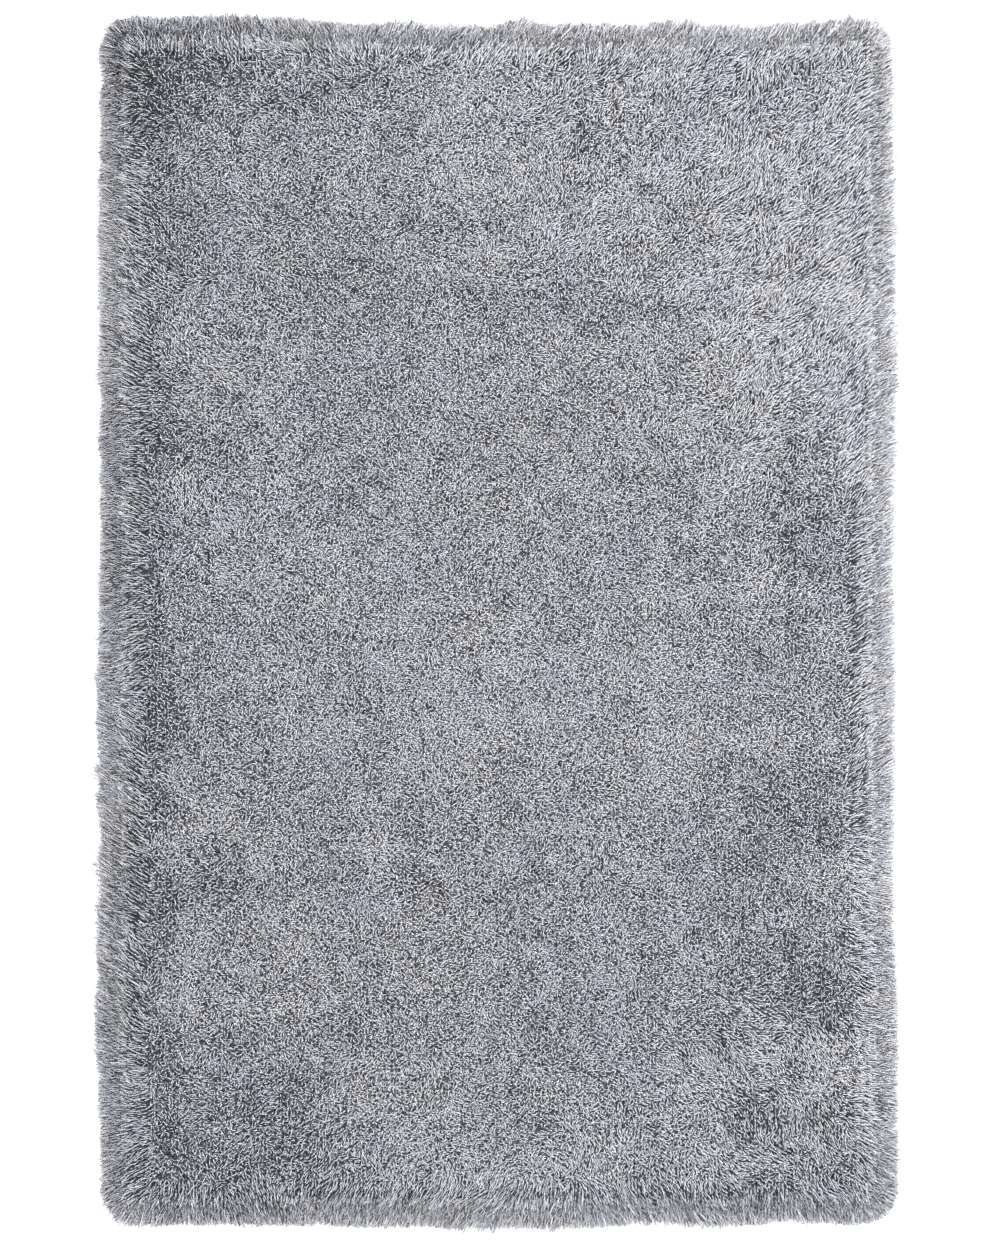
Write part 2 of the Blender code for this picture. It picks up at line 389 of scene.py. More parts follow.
def unit(vectors):
    return vectors / np.linalg.norm(vectors, axis=-1, keepdims=True)


def turned(ways, angle):
    """Flat vectors turned anticlockwise by angles in radians."""
    cos, sin = np.cos(angle), np.sin(angle)
    return np.stack([ways[:, 0] * cos - ways[:, 1] * sin, ways[:, 0] * sin + ways[:, 1] * cos], axis=1)


def polar(heading, elevation):
    """Unit vectors from angles in radians."""
    flat = np.cos(elevation)
    return np.stack([flat * np.cos(heading), flat * np.sin(heading), np.sin(elevation)], axis=-1)


# ---------------------------------------------------------------- numbers over the rug's area


def smooth_step(share):
    share = np.clip(share, 0, 1)
    return share * share * (3 - 2 * share)


def noise(field, x, y):
    """Smooth random values of this field, from minus its size to its size."""
    seed, span, size = NOISE_FIELDS[field]
    cells = 128
    lattice = np.random.default_rng(seed).uniform(-1, 1, (cells, cells))
    column = np.floor(x / span).astype(int)
    row = np.floor(y / span).astype(int)
    across = smooth_step(x / span - column)
    up = smooth_step(y / span - row)
    low = lattice[row % cells, column % cells] * (1 - across)
    low = low + lattice[row % cells, (column + 1) % cells] * across
    high = lattice[(row + 1) % cells, column % cells] * (1 - across)
    high = high + lattice[(row + 1) % cells, (column + 1) % cells] * across
    return size * (low * (1 - up) + high * up)


def hill(x, y, middle_x, middle_y, reach_x, reach_y):
    """A smooth hill, 1 high at its middle and about a third as high at its reach."""
    return np.exp(-(((x - middle_x) / reach_x) ** 2) - ((y - middle_y) / reach_y) ** 2)


def along_side(tables, x, y, out):
    """A side table's value at each place, blended round the corners by the way out."""
    right = np.interp(y, *zip(*tables["right"]))
    left = np.interp(y, *zip(*tables["left"]))
    top = np.interp(x, *zip(*tables["top"]))
    bottom = np.interp(x, *zip(*tables["bottom"]))
    long_side = np.where(out[:, 0] > 0, right, left)
    short_side = np.where(out[:, 1] > 0, top, bottom)
    return out[:, 0] ** 2 * long_side + out[:, 1] ** 2 * short_side


def by_looseness(name, out):
    """A value from the table of what goes by looseness, for each way out."""
    across, up = out[:, 0], out[:, 1]
    looseness = SIDE_LOOSENESS["top"] * np.maximum(up, 0)
    looseness = looseness + SIDE_LOOSENESS["left"] * np.maximum(-across, 0)
    looseness = looseness + SIDE_LOOSENESS["bottom"] * np.maximum(-up, 0)
    looseness = looseness + SIDE_LOOSENESS["right"] * np.maximum(across, 0)
    neat, change = BY_LOOSENESS[name]
    return neat + change * looseness


def box_distance(x, y, radius):
    """For a line of tips with corners of this radius: (distance inside it, way out)."""
    u = x - TIP_LINE_MIDDLE[0]
    v = y - TIP_LINE_MIDDLE[1]
    past_x = np.abs(u) - (TIP_HALF_WIDTH - radius)
    past_y = np.abs(v) - (TIP_HALF_LENGTH - radius)
    corner = np.hypot(np.maximum(past_x, 0), np.maximum(past_y, 0))
    inside = radius - corner - np.minimum(np.maximum(past_x, past_y), 0)
    way_x = np.where((past_x > past_y) | (past_x > 0), np.maximum(past_x, 1e-6), 0)
    way_y = np.where((past_y >= past_x) | (past_y > 0), np.maximum(past_y, 1e-6), 0)
    return inside, unit(np.stack([np.copysign(way_x, u), np.copysign(way_y, v)], axis=1))


def tip_reach(x, y, out):
    """How far the tips reach past their usual line: each side's wander, and tufts."""
    return along_side(SIDE_WANDER, x, y, out) + by_looseness("tuft_reach", out) * noise("tuft_reach", x, y)


def edge_depth(x, y):
    """How far each place lies inside the wandering line of the tips."""
    inside, out = box_distance(x, y, CORNER_RADIUS)
    return inside + tip_reach(x, y, out)


def parting_rise(x, y):
    rise = np.zeros_like(x)
    for middle_x, middle_y, half_length, height in PARTINGS:
        along = (x - middle_x) / half_length
        across = (y - middle_y) / PARTING_HALF_WIDTH
        rise += height * np.exp(-(along**4) - across**2)
    return rise


def mounds(x, y):
    return noise("mounds", x, y) + noise("lumps", x, y) + parting_rise(x, y)


def foot_top(x, y):
    """The height of the foot's top, with its mounds: the slope at the rim is a quarter of an ellipse."""
    share = np.clip((edge_depth(x, y) - SLOPE_START) / SLOPE_WIDTH, 0, 1)
    full = FOOT_HEIGHT - CLOTH_THICKNESS + mounds(x, y)
    return CLOTH_THICKNESS + full * np.sqrt(1 - (1 - share) ** 2)


def crown(depth):
    """The usual height of the uppermost yarns of the rim."""
    return CROWN_START + CROWN_RISE * np.sin(np.clip(depth / CROWN_DEPTH, 0, 1) * math.pi / 2)


# Random tone, with the painted light and shade of the patches.
def tone_light_and_shade(x, y):
    tone = noise("broad_tone", x, y) + noise("fine_tone", x, y)
    for middle_x, middle_y, reach_x, reach_y, change in LIGHT_AND_SHADE_PATCHES:
        tone += change * hill(x, y, middle_x, middle_y, reach_x, reach_y)
    return tone


def hue_field(x, y):
    return RUG_HUE + noise("fine_hue", x, y) + noise("broad_hue", x, y)


def comb_field(x, y):
    """The combed lean at each place, as a vector whose length is its strength."""
    lean = np.zeros((len(x), 2))
    for middle_x, middle_y, reach_x, reach_y, heading, strength in COMBED:
        weight = strength * hill(x, y, middle_x, middle_y, reach_x, reach_y)
        lean[:, 0] += weight * math.cos(math.radians(heading))
        lean[:, 1] += weight * math.sin(math.radians(heading))
    return lean


def rim_field(x, y, depth):
    """The rim's lean, straight out with the side's sweep: (its share outside the parting line, lean)."""
    _, out = box_distance(x, y, FAN_RADIUS)
    way = turned(out, np.radians(along_side(SIDE_SWEEP, x, y, out)))
    parting = along_side(PARTING_DEPTH, x, y, out) + noise("parting_line", x, y)
    share = 1 - smooth_step((depth - parting) / along_side(PARTING_WIDTH, x, y, out) + 0.5)
    return share, RIM_LEAN * share[:, None] * way


# ---------------------------------------------------------------- places


def scattered(pitch, jitter, random, start):
    """Uneven places in staggered rows, from this depth inwards, and each one's rank.

    The rank is 0, 1 or 2, and no two neighbours have the same.
    """
    row_step = pitch * math.sqrt(3) / 2
    across = np.arange(-TIP_HALF_WIDTH - pitch, TIP_HALF_WIDTH + pitch, pitch)
    rows = np.arange(-TIP_HALF_LENGTH - pitch, TIP_HALF_LENGTH + pitch, row_step)
    x, y = np.meshgrid(across, rows)
    odd = np.arange(len(rows)) % 2
    column, row = np.meshgrid(np.arange(len(across)), np.arange(len(rows)))
    rank = (column - (row - odd[:, None]) // 2 + 2 * row).ravel() % 3
    x = x + 0.5 * pitch * odd[:, None]
    x = (x + random.uniform(-jitter, jitter, x.shape) * pitch).ravel()
    y = (y + random.uniform(-jitter, jitter, y.shape) * pitch).ravel()
    kept = edge_depth(x, y) > start
    return x[kept], y[kept], rank[kept]


def nearest(x, y, centre_x, centre_y):
    """The index of the centre nearest to each place."""
    tree = KDTree(len(centre_x))
    for index, centre in enumerate(zip(centre_x, centre_y)):
        tree.insert((*centre, 0), index)
    tree.balance()
    return np.array([tree.find((*place, 0))[1] for place in zip(x, y)])


def rim_places(depth, spacing, random):
    """Places at this depth round the rug, and each one's way out. They are this far apart at the tips."""
    straight = np.array([TIP_HALF_WIDTH, TIP_HALF_LENGTH]) - CORNER_RADIUS
    arc = CORNER_RADIUS * math.pi / 2
    total = 4 * straight.sum() + 4 * arc
    count = int(total / spacing)
    place = (np.arange(count) + random.uniform(-0.5, 0.5, count)) * spacing % total
    base = np.zeros((count, 2))
    out = np.zeros((count, 2))
    start = 0.0
    for way in ((1, 0), (0, 1), (-1, 0), (0, -1)):
        along_x, along_y = -way[1], way[0]
        half = abs(along_x) * straight[0] + abs(along_y) * straight[1]
        side = (place >= start) & (place < start + 2 * half)
        run = place[side] - start - half
        base[side, 0] = way[0] * straight[0] + along_x * run
        base[side, 1] = way[1] * straight[1] + along_y * run
        out[side] = way
        start += 2 * half
        corner = (place >= start) & (place < start + arc)
        angle = math.atan2(way[1], way[0]) + (place[corner] - start) / CORNER_RADIUS
        base[corner] = np.array([way[0] + along_x, way[1] + along_y]) * straight
        out[corner] = np.stack([np.cos(angle), np.sin(angle)], axis=1)
        start += arc
    x, y = (base + CORNER_RADIUS * out + TIP_LINE_MIDDLE).T
    reach = tip_reach(x, y, out) - depth
    return x + reach * out[:, 0], y + reach * out[:, 1], out


# ---------------------------------------------------------------- yarns

# A set of yarns is a dict of arrays with an entry a yarn. The angles in it are radians.


def picked(yarns, mask):
    return {key: values[mask] for key, values in yarns.items()}


def set_back(x, y, heading, rise, length):
    """Where the roots stand for the outer parts of the yarns to lie at these places."""
    back = SET_BACK * length * np.cos(rise)
    return x - back * np.cos(heading), y - back * np.sin(heading)


def looks(kind, random, x, y, dark, rank=0, lighter=0.0, bluer=0.0):
    """The tone, hue and hidden length of yarns of this kind."""
    dark_tone, light_tone, by_rank, tone_spread, hue, hue_spread, hidden = YARN_LOOKS[kind]
    tone = np.where(dark, dark_tone, light_tone + by_rank * rank) + lighter
    return {
        "tone": tone + random.normal(0, tone_spread, len(x)),
        "hue": hue_field(x, y) + hue + bluer + random.normal(0, hue_spread, len(x)),
        "hidden": np.full(len(x), hidden),
    }


def pile_lean(x, y, depth, random):
    """How the top's yarns lean: (vectors, share to which they are combed, share at the rim)."""
    at_rim, rim = rim_field(x, y, depth)
    order = rim + comb_field(x, y)
    combed = np.clip(np.linalg.norm(order, axis=1), 0, FULLY_COMBED) / FULLY_COMBED
    steady = np.random.default_rng(SEED + 1)
    clump_x, clump_y, _ = scattered(CLUMP_PITCH, CLUMP_JITTER, steady, CLUMPS_START)
    wild = np.random.default_rng(SEED + 2).normal(0, 1, (len(clump_x), 2))
    wild = wild[nearest(x, y, clump_x, clump_y)]
    drift = np.stack([noise("drift_x", x, y), noise("drift_y", x, y)], axis=1)
    lean = order + CLUMP_LEAN * wild + drift
    lean += (OWN_LEAN - OWN_LEAN_LESS * combed)[:, None] * random.normal(0, 1, (len(x), 2))
    return lean, combed, at_rim


def top_yarns(random, pitch, hole_share):
    """What the stubs and the bent yarns of the top have in common."""
    x, y, rank = scattered(pitch, YARN_JITTER, random, PLACES_START)
    depth = edge_depth(x, y)
    uneven_depth = depth + noise("ragged_edge", x, y) + random.normal(0, TOP_START_SPREAD, len(x))
    kept = uneven_depth > TOP_START
    x, y, rank, depth = x[kept], y[kept], rank[kept], depth[kept]
    count = len(x)
    lean, combed, at_rim = pile_lean(x, y, depth, random)
    field = tone_light_and_shade(x, y)
    dark_share = TOP_DARK + TOP_DARK_BY_TONE_AND_LIGHT * field + DARK_BY_RANK * rank
    by_patch = TOP_DARK_BY_PATCH + TOP_PATCH_BY_TONE_AND_LIGHT * np.minimum(field, 0)
    dark = random.random(count) < dark_share + by_patch * noise("top_patches", x, y)
    hole = dark & (random.random(count) < hole_share)
    sunk = SUNK + np.where(dark, DARK_SUNK, 0) - np.where(hole, HOLE_RAISED, 0)
    return {
        "x": x,
        "y": y,
        "heading": np.arctan2(lean[:, 1], lean[:, 0]),
        "combed": combed,
        "at_rim": at_rim,
        "hole": hole,
        "sunk": sunk + random.normal(0, SUNK_SPREAD, count),
        "deviation": random.normal(0, 1, count),
        **looks("top", random, x, y, dark, rank, TOP_TONE_BY_FIELD * field, TOP_HUE_BY_FIELD * field),
    }


def shaped(columns, yarns, deviation=0.0):
    """A measure of the top's yarns, from its row in the shape tables."""
    usual, by_combing, by_rim, spread, spread_by_combing = columns
    value = usual + by_combing * yarns["combed"] + by_rim * yarns["at_rim"]
    return value + deviation * (spread + spread_by_combing * yarns["combed"])


def rooted(yarns):
    """The top's yarns with their roots, less those whose roots would miss the pile's foot."""
    x, y = set_back(yarns["x"], yarns["y"], yarns["heading"], yarns["rise"], yarns["length"])
    yarns["roots"] = np.stack([x, y, foot_top(x, y) - yarns["sunk"]], axis=1)
    return picked(yarns, edge_depth(x, y) > FOOT_INSET)


def stub_yarns(random):
    """The straight upper ends of the pile."""
    yarns = top_yarns(random, STUB_PITCH, HOLE_SHARE)
    count = len(yarns["x"])
    yarns["width"] = np.where(yarns["hole"], HOLE_WIDTH, 1.0)
    yarns["curl"] = np.zeros(count)
    yarns["rise"] = np.radians(shaped(STUB_SHAPE["rise"], yarns, yarns["deviation"]))
    yarns["fall"] = yarns["rise"]
    length = shaped(STUB_SHAPE["length"], yarns) * random.uniform(*STUB_LENGTHS, count)
    yarns["length"] = length * np.where(yarns["hole"], HOLE_LENGTH, 1)
    return rooted(yarns)


def bent_yarns(random):
    """The longer yarns that bend over on the top, here and there."""
    yarns = top_yarns(random, BENT_PITCH, 0.0)
    count = len(yarns["x"])
    yarns["width"] = np.full(count, BENT_WIDTH)
    yarns["tone"] += BENT_TONE
    yarns["curl"] = np.radians(shaped(BENT_SHAPE["curl"], yarns, random.normal(0, 1, count)))
    yarns["rise"] = np.radians(shaped(BENT_SHAPE["rise"], yarns, random.normal(0, 1, count)))
    yarns["fall"] = np.radians(shaped(BENT_SHAPE["fall"], yarns, yarns["deviation"]))
    yarns["length"] = shaped(BENT_SHAPE["length"], yarns) * random.uniform(*BENT_LENGTHS, count)
    return rooted(picked(yarns, random.random(count) < BENT_SHARE + yarns["combed"]))


def rim_heading(x, y, out):
    """The headings of the rim's yarns, and how far they turn from straight out."""
    tuft = by_looseness("tuft_turn", out) * noise("tuft_turn", x, y)
    turn = np.radians(along_side(SIDE_SWEEP, x, y, out) * SWEEP_SHARE + tuft)
    return np.arctan2(out[:, 1], out[:, 0]) + turn, turn


def rim_row(random, depth, spacing, height, rise, fall):
    """One row of the long yarns that the ground cloth's edge sends out over the floor."""
    x, y, out = rim_places(depth, spacing, random)
    count = len(x)
    heading, turn = rim_heading(x, y, out)
    reach = depth / np.maximum(np.cos(turn), RIM_TURN_COSINE)
    tuft = by_looseness("tuft_length", out) * noise("tuft_length", x, y)
    dark = random.random(count) < RIM_DARK_SHARE
    height = height + random.uniform(-RIM_ROOT_SPREAD, RIM_ROOT_SPREAD, count)
    return {
        "roots": np.stack([x, y, height], axis=1),
        "heading": heading + np.radians(random.normal(0, RIM_HEADING_SPREAD, count)),
        "curl": np.radians(random.normal(0, RIM_CURL_SPREAD, count)),
        "rise": np.radians(rise + random.normal(0, RIM_SLOPE_SPREAD, count)),
        "fall": np.radians(fall + random.normal(0, RIM_SLOPE_SPREAD, count)),
        "length": reach * (random.normal(1, RIM_LENGTH_SPREAD, count) + tuft - RIM_DARK_SHORTER * dark),
        **looks("rim", random, x, y, dark, lighter=along_side(RIM_LIGHT_AND_SHADE, x, y, out)),
        "width": np.full(count, 1.0),
    }


def rim_yarns(random):
    rows = [rim_row(random, *row) for row in RIM_ROWS]
    return {key: np.concatenate([row[key] for row in rows]) for key in rows[0]}


def thatch_yarns(random):
    """The ends of the yarns that lie over one another down the rim's slope."""
    x, y, rank = scattered(THATCH_PITCH, YARN_JITTER, random, THATCH_START)
    depth = edge_depth(x, y)
    band = depth < FOOT_INSET
    x, y, rank, depth = x[band], y[band], rank[band], depth[band]
    count = len(x)
    _, out = box_distance(x, y, FAN_RADIUS)
    heading, turn = rim_heading(x, y, out)
    heading = heading + np.radians(random.normal(0, 1, count) * by_looseness("thatch_turn", out))
    length = by_looseness("thatch_length", out) * random.uniform(*THATCH_LENGTHS, count)
    # A yarn reaches past its place by the rest of its length.
    room = (depth + THATCH_OVERREACH) / (1 - SET_BACK)
    length = np.minimum(length, room / np.maximum(np.cos(turn), THATCH_TURN_COSINE))
    rise = np.radians(THATCH_FALL + random.normal(0, THATCH_FALL_SPREAD, count))
    root_x, root_y = set_back(x, y, heading, rise, length)
    lighter = along_side(RIM_LIGHT_AND_SHADE, x, y, out)
    dark_share = by_looseness("thatch_dark", out) + noise("thatch_patches", x, y)
    dark_share = dark_share + THATCH_DARK_BY_RIM_LIGHT * lighter + DARK_BY_RANK * rank
    dark = random.random(count) < dark_share
    height = crown(edge_depth(root_x, root_y)) - SUNK - THATCH_DARK_SUNK * dark
    return {
        "roots": np.stack([root_x, root_y, height + random.normal(0, SUNK_SPREAD, count)], axis=1),
        "heading": heading,
        "curl": np.zeros(count),
        "rise": rise,
        "fall": rise,
        "length": length,
        **looks("thatch", random, x, y, dark, rank, lighter),
        "width": np.full(count, THATCH_WIDTH),
    }


# ---------------------------------------------------------------- meshes

# The yarns' map has a column for each pair of tone and hue, and its height goes along the yarn. The
# longest yarns of the rim run past the length that its whole height stands for.
MAP_NAME = "OFBake"
TONES = 32
HUES = 8
COLUMN_MARGIN = 0.2
MAP_MARGIN = 0.01
MAP_LENGTH = 0.055


def yarn_paths(yarns, shares):
    """Points along each yarn, at these shares of its length. Its slope goes from its rise to its fall."""
    points = [yarns["roots"]]
    for start, end in zip(shares, shares[1:]):
        middle = (start + end) / 2
        heading = yarns["heading"] + yarns["curl"] * (middle - 0.5)
        slope = yarns["rise"] + (yarns["fall"] - yarns["rise"]) * middle**TURN_OVER
        step = ((end - start) * yarns["length"])[:, None]
        points.append(points[-1] + step * polar(heading, slope))
    paths = np.stack(points, axis=1)
    paths[:, :, 2] = np.maximum(paths[:, :, 2], CLOTH_LIFT + YARN_RADIUS)
    return paths


def yarn_faces(shares):
    """The triangles of one yarn, and each corner's place on it: (share round it, share along it)."""
    faces = []
    places = []
    for corner in range(3):
        following = (corner + 1) % 3
        near, far = corner / 3, (corner + 1) / 3
        faces.append((0, 1 + following, 1 + corner))
        places.append(((near, 0), (far, shares[1]), (near, shares[1])))
        for ring in range(len(shares) - 2):
            a, b = 1 + 3 * ring + corner, 1 + 3 * ring + following
            low, high = shares[ring + 1 : ring + 3]
            faces.append((a, b, b + 3))
            places.append(((near, low), (far, low), (far, high)))
            faces.append((a, b + 3, a + 3))
            places.append(((near, low), (far, high), (near, high)))
    last = 3 * (len(shares) - 2) + 1
    faces.append((last, last + 1, last + 2))
    places.append(((0, 0.98), (1, 0.98), (0.5, 1)))
    return np.array(faces), np.array(places, float)


def yarn_map(yarns, places):
    """The map's coordinates of every corner of the yarns' triangles."""
    column = np.floor(np.clip(yarns["tone"], 0, 0.999) * TONES) * HUES
    column += np.floor(np.clip(yarns["hue"], 0, 0.999) * HUES)
    round_it = COLUMN_MARGIN + (1 - 2 * COLUMN_MARGIN) * places[None, :, :, 0]
    u = (column[:, None, None] + round_it) / (TONES * HUES)
    along = places[None, :, :, 1] * yarns["length"][:, None, None] + yarns["hidden"][:, None, None]
    v = MAP_MARGIN + (1 - 2 * MAP_MARGIN) * along / MAP_LENGTH
    return np.stack([u, v], axis=-1).reshape(-1, 2)


def yarn_mesh(name, yarns, shares):
    """One mesh of closed three-sided yarns: each starts at a point and ends bluntly."""
    paths = yarn_paths(yarns, shares)
    count = len(paths)
    heading = yarns["heading"]
    ways = unit(np.gradient(paths, axis=1))
    side = np.stack([-np.sin(heading), np.cos(heading), np.zeros(count)], axis=1)[:, None, :]
    side = unit(side - (side * ways).sum(axis=2, keepdims=True) * ways)
    over = np.cross(ways, side)
    radius = YARN_RADIUS * yarns["width"][:, None]
    rings = []
    for inner in range(1, len(shares)):
        for corner in range(3):
            angle = math.radians(90 + 120 * corner)
            offset = math.cos(angle) * side[:, inner] + math.sin(angle) * over[:, inner]
            rings.append(paths[:, inner] + radius * offset)
    vertices = np.stack([paths[:, 0], *rings], axis=1)
    pattern, places = yarn_faces(shares)
    faces = np.arange(count)[:, None, None] * vertices.shape[1] + pattern
    return mesh_object(name, vertices.reshape(-1, 3), faces.reshape(-1, 3), yarn_map(yarns, places))


def slab_mesh(name, inset, bottom, top_of, pitch):
    """A closed slab on a grid, drawn in to the rug's outline at this inset, with its own top height."""
    half_x, half_y = TIP_HALF_WIDTH - inset, TIP_HALF_LENGTH - inset
    radius = max(CORNER_RADIUS - inset, TIGHTEST_CORNER)
    across, along = round(2 * half_x / pitch), round(2 * half_y / pitch)
    u, v = np.meshgrid(np.linspace(-1, 1, across + 1), np.linspace(-1, 1, along + 1))
    x, y = (u * half_x).ravel(), (v * half_y).ravel()
    past_x, past_y = np.abs(x) - (half_x - radius), np.abs(y) - (half_y - radius)
    corner = (past_x > 0) & (past_y > 0)
    shrink = np.maximum(past_x, past_y) / np.maximum(np.hypot(past_x, past_y), 1e-9)
    x = np.where(corner, np.sign(x) * (half_x - radius + past_x * shrink), x) + TIP_LINE_MIDDLE[0]
    y = np.where(corner, np.sign(y) * (half_y - radius + past_y * shrink), y) + TIP_LINE_MIDDLE[1]
    count = len(x)
    index = np.arange(count).reshape(along + 1, across + 1)
    a, b = index[:-1, :-1].ravel(), index[:-1, 1:].ravel()
    c, d = index[1:, 1:].ravel(), index[1:, :-1].ravel()
    top = np.concatenate([np.stack([a, b, c], 1), np.stack([a, c, d], 1)])
    under = top[:, ::-1] + count
    edge = np.concatenate([index[0, :], index[1:, -1], index[-1, -2::-1], index[-2::-1, 0]])
    near, far = edge[:-1], edge[1:]
    near_half = np.stack([near, near + count, far + count], 1)
    far_half = np.stack([near, far + count, far], 1)
    high = np.stack([x, y, top_of(x, y)], axis=1)
    low = np.stack([x, y, np.full(count, bottom)], axis=1)
    return mesh_object(name, np.concatenate([high, low]), np.concatenate([top, under, near_half, far_half]))


def mesh_object(name, vertices, faces, uv=None):
    mesh = bpy.data.meshes.new(name)
    mesh.vertices.add(len(vertices))
    mesh.vertices.foreach_set("co", np.asarray(vertices, np.float32).ravel())
    mesh.loops.add(faces.size)
    mesh.loops.foreach_set("vertex_index", faces.astype(np.int32).ravel())
    mesh.polygons.add(len(faces))
    mesh.polygons.foreach_set("loop_start", np.arange(0, faces.size, 3, dtype=np.int32))
    mesh.polygons.foreach_set("use_smooth", np.full(len(faces), True))
    mesh.update(calc_edges=True)
    if uv is not None:
        layer = mesh.uv_layers.new(name=MAP_NAME)
        layer.data.foreach_set("uv", uv.astype(np.float32).ravel())
    piece = bpy.data.objects.new(name, mesh)
    bpy.context.scene.collection.objects.link(piece)
    return piece


# ---------------------------------------------------------------- materials

# Colours of the yarn. Columns: tone, colour. Tone 0, for the dark yarns, is painted shade, a little blue.
YARN_COLOURS = (
    (0.0, (0.010, 0.012, 0.020)),
    (0.30, (0.250, 0.255, 0.286)),
    (0.55, (0.425, 0.430, 0.466)),
    (0.80, (0.600, 0.604, 0.640)),
    (1.0, (0.730, 0.733, 0.760)),
)
# Columns: hue, tint.
YARN_TINTS = (
    (0.0, (1.035, 0.985, 0.965)),
    (0.28, (1.005, 1.012, 0.965)),
    (0.55, (0.985, 1.0, 1.01)),
    (0.78, (0.962, 1.004, 1.04)),
    (1.0, (0.985, 0.975, 1.06)),
)
# The shade between the roots. Columns: height on the map, shade.
ROOT_SHADE = (
    (0.06, (0.12, 0.12, 0.14)),
    (0.12, (0.55, 0.55, 0.59)),
    (0.18, (1.0, 1.0, 1.0)),
)
# The twist of the yarn's plies, with painted shade in the grooves between them. Columns: height of a ply,
# shade.
PLY_SHADE = (
    (0.0, (0.36, 0.36, 0.38)),
    (0.28, (0.85, 0.85, 0.87)),
    (0.5, (1.0, 1.0, 1.0)),
)
# Lighter and darker stretches of a yarn.
FLECKS = (
    (0.0, (0.62, 0.62, 0.63)),
    (1.0, (1.20, 1.20, 1.19)),
)
# Over the map's whole height.
TWIST_TURNS = 13.0
FLECK_STRETCHES = 20.0

# Its colours are painted shade: darker than the yarns above, and near black between the strands.
# The matted foot: strands that lie every way, by the tuft. Columns: distance from a strand's edge, colour.
MATTED_STRANDS_AND_SHADE = (
    (0.04, (0.005, 0.006, 0.008)),
    (0.16, (0.095, 0.10, 0.115)),
    (0.34, (0.265, 0.275, 0.305)),
)
TUFTS_PER_METRE = 95.0
STRANDS_PER_METRE = 640.0
STRAND_NARROWNESS = 0.22

WEAVE_PITCH = 0.0045


def new_material(name, roughness):
    """A material of this roughness: (material, node tree, shader)."""
    material = bpy.data.materials.new(name)
    material.use_nodes = True
    shader = material.node_tree.nodes["Principled BSDF"]
    shader.inputs["Roughness"].default_value = roughness
    return material, material.node_tree, shader


def add_node(tree, kind, **values):
    """A node of this kind with its attributes and sockets set by name."""
    node = tree.nodes.new(kind)
    for key, value in values.items():
        if hasattr(node, key):
            setattr(node, key, value)
        else:
            node.inputs[key.replace("_", " ")].default_value = value
    return node


def math_node(tree, operation, *values):
    """The result of this sum, where each value is a number or another node's output."""
    node = add_node(tree, "ShaderNodeMath", operation=operation)
    for socket, value in zip(node.inputs, values):
        if isinstance(value, bpy.types.NodeSocket):
            tree.links.new(value, socket)
        else:
            socket.default_value = value
    return node.outputs[0]


def parted(tree, vector):
    """The X, Y and Z outputs of a vector."""
    node = tree.nodes.new("ShaderNodeSeparateXYZ")
    tree.links.new(vector, node.inputs[0])
    return node.outputs


def ramp_node(tree, value, stops):
    ramp = tree.nodes.new("ShaderNodeValToRGB")
    elements = ramp.color_ramp.elements
    while len(elements) < len(stops):
        elements.new(0.5)
    for element, (position, colour) in zip(elements, stops):
        element.position = position
        element.color = (*colour, 1.0)
    tree.links.new(value, ramp.inputs[0])
    return ramp.outputs[0]


def colour_socket(sockets, name):
    return next(socket for socket in sockets if socket.name == name and socket.type == "RGBA")


def multiplied(tree, colour, *shades):
    """The product of these colours."""
    for shade in shades:
        node = add_node(tree, "ShaderNodeMix", data_type="RGBA", blend_type="MULTIPLY")
        node.inputs["Factor"].default_value = 1.0
        tree.links.new(colour, colour_socket(node.inputs, "A"))
        tree.links.new(shade, colour_socket(node.inputs, "B"))
        colour = colour_socket(node.outputs, "Result")
    return colour


def dressed(tree, shader, colour, height, strength, distance):
    """Gives the shader its colour, and a bump of this height."""
    tree.links.new(colour, shader.inputs["Base Color"])
    bump = add_node(tree, "ShaderNodeBump", Strength=strength, Distance=distance)
    tree.links.new(height, bump.inputs["Height"])
    tree.links.new(bump.outputs[0], shader.inputs["Normal"])


